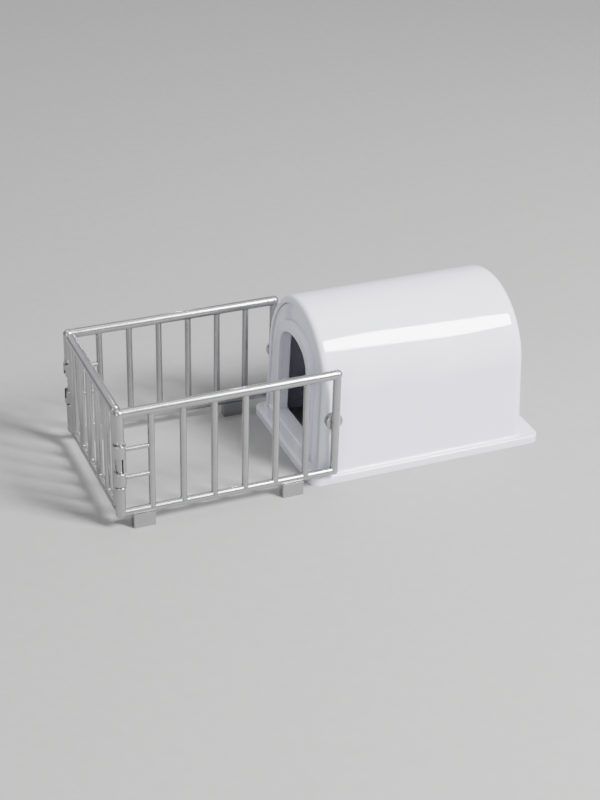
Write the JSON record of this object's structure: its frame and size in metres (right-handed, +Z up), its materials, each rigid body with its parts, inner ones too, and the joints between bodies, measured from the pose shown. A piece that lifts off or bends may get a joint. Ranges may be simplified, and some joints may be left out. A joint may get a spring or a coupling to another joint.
{
  "type": "calf hutch",
  "caption": "Scale-model calf hutch: a drafted arch-roofed plastic shelter with an arched doorway, and a barred pen that tilts up on side pegs and opens with a swinging gate.",
  "frame": {"origin": "on the ground, in the middle of the whole length and width, with the pen down and the gate shut", "axes": "+X from the gate to the back of the hutch, +Y to the left seen from the gate, +Z up"},
  "size_m": [0.1144, 0.0446, 0.041],
  "materials": {
    "hutch_plastic": "glossy moulded white plastic, faintly bluish",
    "pen_plastic": "moulded plastic coated in satin silver paint"
  },
  "bodies": {
    "hutch": {"hutch_shell": "hutch_plastic", "front_wall": "hutch_plastic", "doorway_frame": "hutch_plastic", "door_sill": "hutch_plastic", "base_flange": "hutch_plastic", "pivot_bosses": "hutch_plastic"},
    "right_panel": {"right_top_rail": "pen_plastic", "right_bottom_rail": "pen_plastic", "right_end_post": "pen_plastic", "right_corner_post_top": "pen_plastic", "right_corner_post_foot": "pen_plastic", "right_bars": "pen_plastic", "right_short_bars": "pen_plastic", "right_feet": "pen_plastic", "right_pivot_pin": "pen_plastic", "right_hinge_barrel": "pen_plastic"},
    "left_panel": {"left_top_rail": "pen_plastic", "left_bottom_rail": "pen_plastic", "left_end_post": "pen_plastic", "left_corner_post_top": "pen_plastic", "left_corner_post_foot": "pen_plastic", "left_bars": "pen_plastic", "left_short_bars": "pen_plastic", "left_feet": "pen_plastic", "left_pivot_pin": "pen_plastic", "left_latch_barrel": "pen_plastic"},
    "gate": {"gate_top_rail": "pen_plastic", "gate_bottom_rail": "pen_plastic", "gate_hinge_post": "pen_plastic", "gate_latch_post": "pen_plastic", "gate_bars": "pen_plastic", "gate_hinge_pin": "pen_plastic", "gate_latch_pin": "pen_plastic"}
  },
  "joints": [
    {"name": "pen_tilt", "type": "hinge", "parent": "hutch", "child": "right_panel", "pos_m": [-0.00104, -0.02066, 0.0178], "axis": [0, 1, 0], "range_deg": [0, 130]},
    {"name": "left_panel_tilt", "type": "hinge", "parent": "hutch", "child": "left_panel", "pos_m": [-0.00104, 0.02066, 0.0178], "axis": [0, 1, 0], "range_deg": [0, 130]},
    {"name": "gate_swing", "type": "hinge", "parent": "right_panel", "child": "gate", "pos_m": [-0.05554, -0.02066, 0.0178], "axis": [0, 0, 1], "range_deg": [0, 170]}
  ],
  "couplings": [
    {"joint": "left_panel_tilt", "follows": "pen_tilt", "ratio": 1}
  ]
}
